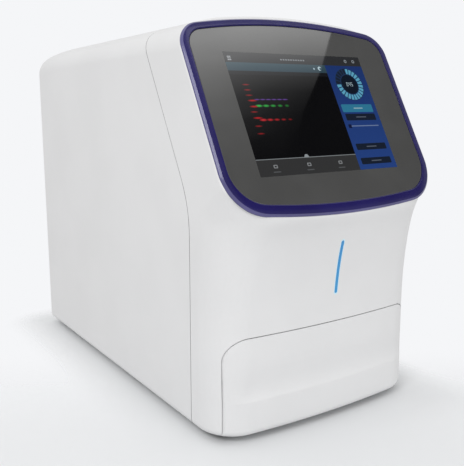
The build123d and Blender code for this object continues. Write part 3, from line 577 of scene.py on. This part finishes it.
def makePlate():
    outline = bezelOutline()
    work = bmesh.new()
    rings = []
    for inward, height in faceplate["rim"]:
        rings.append([
            work.verts.new(onScreen(x - nx * inward, s - ns * inward + low * bezel["sill"], height))
            for x, s, nx, ns, low in outline
        ])
    total = len(outline)
    for below, above in zip(rings, rings[1:]):
        for index in range(total):
            after = (index + 1) % total
            work.faces.new((below[index], below[after], above[after], above[index]))
    work.faces.new(rings[-1])
    work.faces.new(list(reversed(rings[0])))
    bmesh.ops.recalc_face_normals(work, faces=work.faces)
    return finishMesh("screenGlass", work, faceplate["sharp"])


plate = makePlate()
plate.data.materials.append(plateMaterial())
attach(plate, "housing")
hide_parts("screen_glass")

print("screen unit made")


# Display picture: flat shapes a hair above the faceplate, each with its own tint

display = {  # millimetres in the screen plane
    "width": 252.0, "height": 184.5, "lift": 2.53, "layer": 0.012, "shiftX": -2.6, "shiftS": -1.0,
    "header": 16, "status": 13, "ruler": 19, "panelLeft": 51, "footer": 23.5,
    "statusSteps": 12, "panelSteps": 30, "cornerSteps": 5,
    "color": (0.001, 0.001, 0.001), "roughness": 0.5,
    "strength": 0.9, "pixelScale": 3000.0, "pixelShare": 0.12,
}
right = display["width"] / 2
top = display["height"] / 2
left = -right
bottom = -top
headerLow = top - display["header"]
statusLow = headerLow - display["status"]
footerHigh = bottom + display["footer"]
panelLeft = display["panelLeft"]

tints = {
    "black": (0.0018, 0.0018, 0.0026), "header": (0.030, 0.031, 0.034), "statusHigh": (0.040, 0.085, 0.110),
    "statusLow": (0.030, 0.062, 0.085), "ruler": (0.008, 0.009, 0.012), "lamp": (0.50, 0.66, 0.72),
    "lampShade": (0.05, 0.11, 0.15), "spot": (0.36, 0.48, 0.54), "menu": (0.5, 0.53, 0.56),
    "knob": (0.30, 0.33, 0.36), "title": (0.25, 0.27, 0.29), "strongMark": (0.50, 0.010, 0.015),
    "faintMark": (0.26, 0.008, 0.012), "panelHigh": (0.012, 0.037, 0.165),
    "panelLow": (0.019, 0.058, 0.240), "dialRim": (0.014, 0.035, 0.10),
    "segmentLit": (0.115, 0.40, 0.58), "segmentDark": (0.010, 0.018, 0.035), "hub": (0.004, 0.009, 0.020),
    "digit": (0.40, 0.52, 0.58), "button": (0.030, 0.20, 0.33), "buttonLine": (0.30, 0.48, 0.55),
    "slider": (0.16, 0.22, 0.38), "sliderEnd": (0.005, 0.010, 0.050), "darkButton": (0.008, 0.014, 0.030),
    "darkLine": (0.10, 0.12, 0.16), "footer": (0.037, 0.037, 0.038), "footerEdge": (0.22, 0.24, 0.25),
    "notch": (0.30, 0.33, 0.35), "icon": (0.25, 0.26, 0.27), "iconLine": (0.10, 0.105, 0.11),
}


class Picture:
    def __init__(self):
        self.work = bmesh.new()
        self.tint = self.work.loops.layers.float_color.new("tint")

    def shape(self, points, color, level):
        lift = display["lift"] + display["layer"] * level
        places = [onScreen(x + display["shiftX"], s + display["shiftS"], lift) for x, s in points]
        face = self.work.faces.new([self.work.verts.new(place) for place in places])
        face.normal_update()
        if face.normal.dot(outward) < 0:
            face.normal_flip()
        for loop in face.loops:
            loop[self.tint] = (*color, 1)

    def bar(self, x0, s0, x1, s1, color, level=1, corner=0.0):
        if corner == 0:
            self.shape([(x0, s0), (x1, s0), (x1, s1), (x0, s1)], color, level)
            return
        points = []
        for x, s, start in (
            (x1 - corner, s0 + corner, -90), (x1 - corner, s1 - corner, 0),
            (x0 + corner, s1 - corner, 90), (x0 + corner, s0 + corner, 180),
        ):
            for step in range(display["cornerSteps"] + 1):
                points.append(spoke(x, s, corner, start + 90 * step / display["cornerSteps"]))
        self.shape(points, color, level)

    def disc(self, x, s, radius, color, level=1, sides=40):
        self.shape([spoke(x, s, radius, 360 * index / sides) for index in range(sides)], color, level)

    def arc(self, x, s, inner, outer, start, end, color, level=1, sides=4):
        turns = [start + (end - start) * index / sides for index in range(sides + 1)]
        points = [spoke(x, s, outer, turn) for turn in turns]
        points += [spoke(x, s, inner, turn) for turn in reversed(turns)]
        self.shape(points, color, level)

    def fade(self, x0, s0, x1, s1, first, last, level, steps):  # from the first tint at the top to the last
        for index in range(steps):
            share = (index + 0.5) / steps
            color = tuple(a + (b - a) * share for a, b in zip(first, last))
            low = s1 + (s0 - s1) * (index + 1) / steps
            high = s1 + (s0 - s1) * index / steps
            self.bar(x0, low, x1, high, color, level)

    def blob(self, x, s, width, height, color, level=2, sides=24):  # a soft spot of nested ovals
        for step, share in enumerate(blot["ovals"]):
            size = blot["ovalSize"] - blot["ovalStep"] * step
            points = []
            for index in range(sides):
                angle = 2 * math.pi * index / sides
                shift = width / 2 * size * math.cos(angle)
                points.append((x + shift, s + height / 2 * size * math.sin(angle)))
            self.shape(points, tuple(c * share for c in color), level + step)


def spoke(x, s, radius, degrees):  # the end of a spoke from a centre
    angle = math.radians(degrees)
    return x + radius * math.cos(angle), s + radius * math.sin(angle)


header = {  # places across, then up from the header's lower line
    "lamp": (39, -6, 3.4), "lampShade": (40.4, -6.6, 2.2), "spot": (28, -6.6, 1.7),
    "menuLines": 3, "menuLow": 3, "menuPitch": 2.6, "menuInset": 5, "menuWidth": 6, "menuStroke": 1.1,
    "knobs": (30, 14), "knobUp": 8, "knob": 2.7, "knobHole": 1.4,
    "dashes": 10, "dashLeft": -30, "dashPitch": 4.6, "dashWidth": 3, "dashLow": 5.6, "dashHigh": 7.8,
}


def drawHeader(p):
    p.bar(left, headerLow, right, top, tints["header"], 1)
    steps = display["statusSteps"]
    p.fade(left, statusLow, panelLeft, headerLow, tints["statusHigh"], tints["statusLow"], 1, steps)
    p.bar(left, headerLow - display["ruler"], panelLeft, statusLow, tints["ruler"], 1)
    for name, level in (("lamp", 2), ("lampShade", 3), ("spot", 2)):
        x, s, radius = header[name]
        p.disc(x, headerLow + s, radius, tints[name], level)
    x = left + header["menuInset"]
    for index in range(header["menuLines"]):
        s = headerLow + header["menuLow"] + index * header["menuPitch"]
        p.bar(x, s, x + header["menuWidth"], s + header["menuStroke"], tints["menu"], 2)
    s = headerLow + header["knobUp"]
    for inset in header["knobs"]:
        p.disc(right - inset, s, header["knob"], tints["knob"], 2)
        p.disc(right - inset, s, header["knobHole"], tints["header"], 3)
    low = headerLow + header["dashLow"]
    high = headerLow + header["dashHigh"]
    for index in range(header["dashes"]):  # a title of plain dashes
        x = header["dashLeft"] + index * header["dashPitch"]
        p.bar(x, low, x + header["dashWidth"], high, tints["title"], 2)


blot = {
    "left": -103, "ladder": (42, 34, 26, 18, 9, 1, -8, -20, -31), "strong": (3, 4, 6),
    "strongMark": (2, 13, 2.6), "faintMark": (-1, 10.5, 2.2), "lanesIn": 10,
    "ovals": (0.25, 0.5, 0.8, 1.0), "ovalSize": 1.25, "ovalStep": 0.27,
    "violet": {
        "count": 6, "up": 19.5, "pitch": 9.6, "size": (9.5, 1.9), "shrink": (0, 0), "fade": 0,
        "color": (0.13, 0.05, 0.30),
    },
    "green": {
        "count": 5, "up": 10, "pitch": 12, "size": (10.5, 3.4), "shrink": (1, 0), "fade": 0.17,
        "color": (0.04, 0.50, 0.08),
    },
    "red": {
        "count": 5, "up": -11, "pitch": 11.5, "size": (10.5, 3.4), "shrink": (1, 0.2), "fade": 0.17,
        "color": (0.60, 0.02, 0.03),
    },
}


def drawBlot(p):
    for index, s in enumerate(blot["ladder"]):
        kind = "strongMark" if index in blot["strong"] else "faintMark"
        shift, width, height = blot[kind]
        p.blob(blot["left"] + shift, s, width, height, tints[kind])
    for name in ("violet", "green", "red"):
        row = blot[name]
        for index in range(row["count"]):
            x = blot["left"] + blot["lanesIn"] + index * row["pitch"]
            width, height = (size - index * less for size, less in zip(row["size"], row["shrink"]))
            color = tuple(c * (1 - row["fade"] * index) for c in row["color"])
            p.blob(x, row["up"], width, height, color)


dial = {
    "x": (panelLeft + right) / 2, "s": 45, "rim": 27, "outer": 26, "inner": 17.5, "hub": 16,
    "segments": 24, "lit": 18, "first": 92, "gap": 4, "value": "045", "digitsLeft": -6.4, "digitPitch": 4.6,
    "digitWidth": 3.2, "digitHeight": 6.4, "stroke": 0.8,
}
digitBars = {"0": "abcdef", "4": "bcfg", "5": "acdfg"}  # which of a digit's seven bars are lit


def drawDial(p):
    x = dial["x"]
    s = dial["s"]
    step = 360 / dial["segments"]
    p.disc(x, s, dial["rim"], tints["dialRim"], 2)
    for index in range(dial["segments"]):
        start = dial["first"] - (index + 1) * step
        color = tints["segmentLit"] if index < dial["lit"] else tints["segmentDark"]
        p.arc(x, s, dial["inner"], dial["outer"], start, start + step - dial["gap"], color, 3)
    p.disc(x, s, dial["hub"], tints["hub"], 3)
    for index, digit in enumerate(dial["value"]):
        drawDigit(p, x + dial["digitsLeft"] + index * dial["digitPitch"], s - dial["digitHeight"] / 2, digit)


def drawDigit(p, x, s, digit):
    w = dial["digitWidth"]
    h = dial["digitHeight"]
    t = dial["stroke"]
    bars = {
        "a": (0, h - t, w, h), "b": (w - t, h / 2, w, h), "c": (w - t, 0, w, h / 2), "d": (0, 0, w, t),
        "e": (0, 0, t, h / 2), "f": (0, h / 2, t, h), "g": (0, (h - t) / 2, w, (h + t) / 2),
    }
    for key in digitBars[digit]:
        x0, s0, x1, s1 = bars[key]
        p.bar(x + x0, s + s0, x + x1, s + s1, tints["digit"], 4)


buttons = {  # lower and upper edge of each, and how far their marks reach
    "inset": 7, "margin": 8, "corner": 1.8, "darkCorner": 1.6, "main": (-1.3, 11.5), "mainLine": (4.2, 6.0),
    "mainWider": 2, "mainHalf": 9, "slider": (-24.6, -23.0), "sliderEnd": (-27, -21), "endReach": (1, 5),
    "dark": ((-14.8, -4), (-62, -52), (-84.5, -74.5)), "darkHalf": 10, "darkStroke": 0.8,
}


def drawButtons(p):
    near = panelLeft + buttons["inset"]
    far = right - buttons["margin"]
    x = dial["x"]
    half = buttons["mainHalf"]
    low, high = buttons["main"]
    p.bar(near - buttons["mainWider"], low, far, high, tints["button"], 2, buttons["corner"])
    low, high = buttons["mainLine"]
    p.bar(x - half, low, x + half, high, tints["buttonLine"], 3)
    low, high = buttons["slider"]
    p.bar(near, low, far, high, tints["slider"], 2)
    low, high = buttons["sliderEnd"]
    before, after = buttons["endReach"]
    p.bar(near - before, low, near + after, high, tints["sliderEnd"], 3)
    half = buttons["darkHalf"]
    stroke = buttons["darkStroke"]
    for low, high in buttons["dark"]:
        middle = (low + high) / 2
        p.bar(near, low, far, high, tints["darkButton"], 2, buttons["darkCorner"])
        p.bar(x - half, middle - stroke, x + half, middle + stroke, tints["darkLine"], 3)


footer = {  # each bar of an icon: half its width, lower edge, upper edge, tint, level, corner
    "icons": (-97, -39.5, 17.5), "notch": [(-44, 1), (-35, 1), (-37.5, 5), (-41.5, 5)], "edge": 1.1,
    "bars": [
        (3.4, -12.5, -7.5, "icon", 2, 1.2), (1.8, -11.2, -8.8, "footer", 3, 0),
        (6, -18.5, -17, "iconLine", 2, 0),
    ],
}


def drawFooter(p):
    p.bar(left, bottom, panelLeft, footerHigh, tints["footer"], 1)
    p.bar(left, footerHigh, panelLeft, footerHigh + footer["edge"], tints["footerEdge"], 2)
    p.shape([(x, footerHigh + s) for x, s in footer["notch"]], tints["notch"], 3)
    for x in footer["icons"]:
        for half, low, high, tint, level, corner in footer["bars"]:
            p.bar(x - half, footerHigh + low, x + half, footerHigh + high, tints[tint], level, corner)


def makePicture():
    p = Picture()
    p.bar(left, bottom, right, top, tints["black"], 0)
    drawHeader(p)
    drawBlot(p)
    steps = display["panelSteps"]
    p.fade(panelLeft, bottom, right, headerLow, tints["panelHigh"], tints["panelLow"], 1, steps)
    drawDial(p)
    drawButtons(p)
    drawFooter(p)
    return finishMesh("displayPicture", p.work, angle=180)


def pictureMaterial():
    material, shader, place = newMaterial(
        "displayGlow", display["color"], display["roughness"], **clearCoat, **{"Specular IOR Level": 0.0}
    )
    tint = place.make("ShaderNodeAttribute", 0, {"attribute_name": "tint"})
    pixels = noiseField(place, display["pixelScale"], 0.0)
    shown = mixColors(pixels.between(*tintSpan) * display["pixelShare"], tint, (0, 0, 0, 1))
    plug(material.node_tree, shader.inputs["Emission Color"], shown)
    shader.inputs["Emission Strength"].default_value = display["strength"]
    return material


picture = makePicture()
picture.data.materials.append(pictureMaterial())
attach(picture, "housing")

print("display picture made")


# Light strip

strip = {
    "color": (0.02, 0.16, 0.36), "roughness": 0.3,
    "dark": (0.03, 0.22, 0.42, 1), "pale": (0.02, 0.16, 0.36, 1),
    "low": 0.195, "high": 0.273, "strength": 0.55,
}


def stripMaterial():
    material, shader, place = newMaterial("lightGuide", strip["color"], strip["roughness"])
    height = parts(place)[2]
    glow = mixColors(height.between(strip["low"], strip["high"]), strip["dark"], strip["pale"])
    plug(material.node_tree, shader.inputs["Emission Color"], glow)
    shader.inputs["Emission Strength"].default_value = strip["strength"]
    return material


materials["strip"] = stripMaterial()
standIn("light_strip", "strip")

print("light strip made")


# Floor, light and camera

view = {  # metres and degrees, then pixels of the photograph's frame
    "place": (-0.6315, -0.9768, 0.4548), "yaw": 31.56, "pitch": 10.85, "roll": -0.53,
    "focal": 647.1, "centreX": 195.0, "frameWidth": 464.0, "frameHeight": 466.0, "sensor": 36.0,
}

ground = {  # metres; the floor gives way to the white background behind the object and far from it
    "color": (0.77, 0.78, 0.79), "roughness": 0.8,
    "dark": (0.76, 0.77, 0.78, 1), "pale": (0.78, 0.79, 0.80, 1),
    "reach": 30, "cloudScale": 3.0, "fadeFrom": -0.42, "fadeTo": 0.02, "shadow": 0.10, "farFrom": 0.6,
    "farTo": 1.1, "halfWidth": 0.19, "halfDepth": 0.35,
}


def makeFloor():
    work = bmesh.new()
    bmesh.ops.create_grid(work, x_segments=2, y_segments=2, size=ground["reach"])
    return finishMesh("floorPlane", work, angle=30)


def beyond(value, half):  # how far a place is outside the footprint
    return largest(largest(value, value * -1.0) - half, 0.0)


def floorMaterial():
    material, shader, place = newMaterial("paleFloor", ground["color"], ground["roughness"])
    tree = material.node_tree
    cloud = noiseField(place, ground["cloudScale"], 2.0)
    plug(tree, shader.inputs["Base Color"], mixColors(cloud, ground["dark"], ground["pale"]))
    x, y = parts(place)[:2]
    yaw = math.radians(view["yaw"])
    behind = (x * math.sin(yaw) + y * math.cos(yaw)).between(ground["fadeFrom"], ground["fadeTo"])
    besideX = beyond(x, ground["halfWidth"])
    besideY = beyond(y, ground["halfDepth"])
    clearOfShadow = root(besideX * besideX + besideY * besideY).between(0.0, ground["shadow"])
    far = root(x * x + y * y).between(ground["farFrom"], ground["farTo"])
    clear = tree.nodes.new("ShaderNodeBsdfTransparent")
    blend = tree.nodes.new("ShaderNodeMixShader")
    plug(tree, blend.inputs[0], largest(behind * clearOfShadow, far))
    tree.links.new(shader.outputs[0], blend.inputs[1])
    tree.links.new(clear.outputs[0], blend.inputs[2])
    tree.links.new(blend.outputs[0], tree.nodes["Material Output"].inputs[0])
    return material


floor = makeFloor()
floor.data.materials.append(floorMaterial())

lampAim = (0, -0.05, 0.3)
lamps = {
    "keyLamp": {"place": (-2.0, -1.4, 2.1), "size": (1.2, 1.0), "power": 28.5},
    "topLamp": {"place": (-0.3, 0.3, 2.6), "size": (1.6, 1.4), "power": 5.0},
    "frontLamp": {"place": (0.5, -2.6, 0.5), "size": (1.4, 0.8), "power": 8.5},
}


def makeLamp(name, place, size, power):
    data = bpy.data.lights.new(name, "AREA")
    data.shape = "RECTANGLE"
    data.size, data.size_y = size
    data.energy = power
    lamp = bpy.data.objects.new(name, data)
    lamp.location = place
    aim = Vector(lampAim) - Vector(place)
    lamp.rotation_euler = aim.to_track_quat("-Z", "Y").to_euler()
    bpy.context.scene.collection.objects.link(lamp)


for name, lamp in lamps.items():
    makeLamp(name, **lamp)


card = {  # what the glossy screen mirrors, on lines up the screen in millimetres
    "reach": 2.4, "half": 240, "middle": -75, "dark": 0.02,
    # height of the line, how far right the bright part goes, its levels at the left, middle and right
    "lines": [
        (190, 127, 3.4, 4.2, 3.0), (131, 86, 3.7, 3.5, 2.2),
        (92, 58, 3.3, 2.1, 1.2), (71, 43, 2.8, 1.25, 0.65),
        (33, 10, 1.65, 0.45, 0.17), (0, -20, 0.95, 0.19, 0.07), (-30, -38, 0.45, 0.08, 0.03),
        (-74, -55, 0.05, 0.02, 0.02), (-200, -55, 0.02, 0.02, 0.02),
    ],
}


def mirrored(work, image, x, s):  # the place that a point of the screen mirrors towards the camera
    through = onScreen(x, s, faceplate["rim"][-1][1])
    return work.verts.new(through + (through - image).normalized() * card["reach"])


def makeCard():
    eye = Vector(view["place"])
    image = eye - outward * 2 * (eye - screenCentre).dot(outward)
    work = bmesh.new()
    glow = work.loops.layers.float_color.new("glow")
    half = card["half"]
    places = []
    levels = []
    for s, edge, *glows in card["lines"]:
        columns = (-half, card["middle"], edge, edge, half)
        places.append([mirrored(work, image, x, s) for x in columns])
        levels.append([*glows, card["dark"], card["dark"]])
    for row in range(len(places) - 1):
        for column in (0, 1, 3):  # columns 2 and 3 lie on each other, where the bright part ends
            corners = ((row + 1, column), (row + 1, column + 1), (row, column + 1), (row, column))
            face = work.faces.new([places[a][b] for a, b in corners])
            for loop, (a, b) in zip(face.loops, corners):
                loop[glow] = (levels[a][b],) * 3 + (1,)
    return finishMesh("mirrorCard", work, angle=180)


def cardMaterial():
    material, shader, place = newMaterial("cardLight", (0, 0, 0), 1.0)
    glow = place.make("ShaderNodeAttribute", 0, {"attribute_name": "glow"})
    plug(material.node_tree, shader.inputs["Emission Color"], glow)
    shader.inputs["Emission Strength"].default_value = 1.0
    return material


studio = {"light": (1.0, 1.0, 1.0, 1), "strength": 0.765, "background": (0.913, 0.921, 0.939, 1)}


def makeWorld():
    world = bpy.data.worlds.new("studio")
    world.use_nodes = True
    tree = world.node_tree
    tree.nodes.clear()
    out = tree.nodes.new("ShaderNodeOutputWorld")
    path = tree.nodes.new("ShaderNodeLightPath")
    plain = tree.nodes.new("ShaderNodeBackground")
    plain.inputs[0].default_value = studio["light"]
    plain.inputs[1].default_value = studio["strength"]
    white = tree.nodes.new("ShaderNodeBackground")
    white.inputs[0].default_value = studio["background"]
    mix = tree.nodes.new("ShaderNodeMixShader")
    tree.links.new(path.outputs["Is Camera Ray"], mix.inputs[0])
    tree.links.new(plain.outputs[0], mix.inputs[1])
    tree.links.new(white.outputs[0], mix.inputs[2])
    tree.links.new(mix.outputs[0], out.inputs[0])
    bpy.context.scene.world = world


makeWorld()

mirrorCard = makeCard()
mirrorCard.data.materials.append(cardMaterial())
mirrorCard.visible_camera = False
mirrorCard.visible_diffuse = False
mirrorCard.visible_shadow = False


def makeCamera():
    data = bpy.data.cameras.new("photoCamera")
    data.sensor_fit = "VERTICAL"
    data.sensor_height = view["sensor"]
    data.lens = data.sensor_height * view["focal"] / view["frameHeight"]
    data.shift_x = (view["frameWidth"] / 2 - view["centreX"]) / view["frameHeight"]
    yaw = math.radians(view["yaw"])
    pitch = math.radians(view["pitch"])
    roll = math.radians(view["roll"])
    ahead = Vector((math.sin(yaw) * math.cos(pitch), math.cos(yaw) * math.cos(pitch), -math.sin(pitch)))
    side = Vector((math.cos(yaw), -math.sin(yaw), 0))
    above = side.cross(ahead)
    cameraRight = side * math.cos(roll) + above * math.sin(roll)
    cameraUp = above * math.cos(roll) - side * math.sin(roll)
    camera = bpy.data.objects.new("photoCamera", data)
    turn = Matrix((cameraRight, cameraUp, -ahead)).transposed().to_4x4()
    camera.matrix_world = Matrix.Translation(Vector(view["place"])) @ turn
    bpy.context.scene.collection.objects.link(camera)
    bpy.context.scene.camera = camera


makeCamera()
bpy.context.scene.view_settings.view_transform = "Standard"

print("floor, light and camera made")
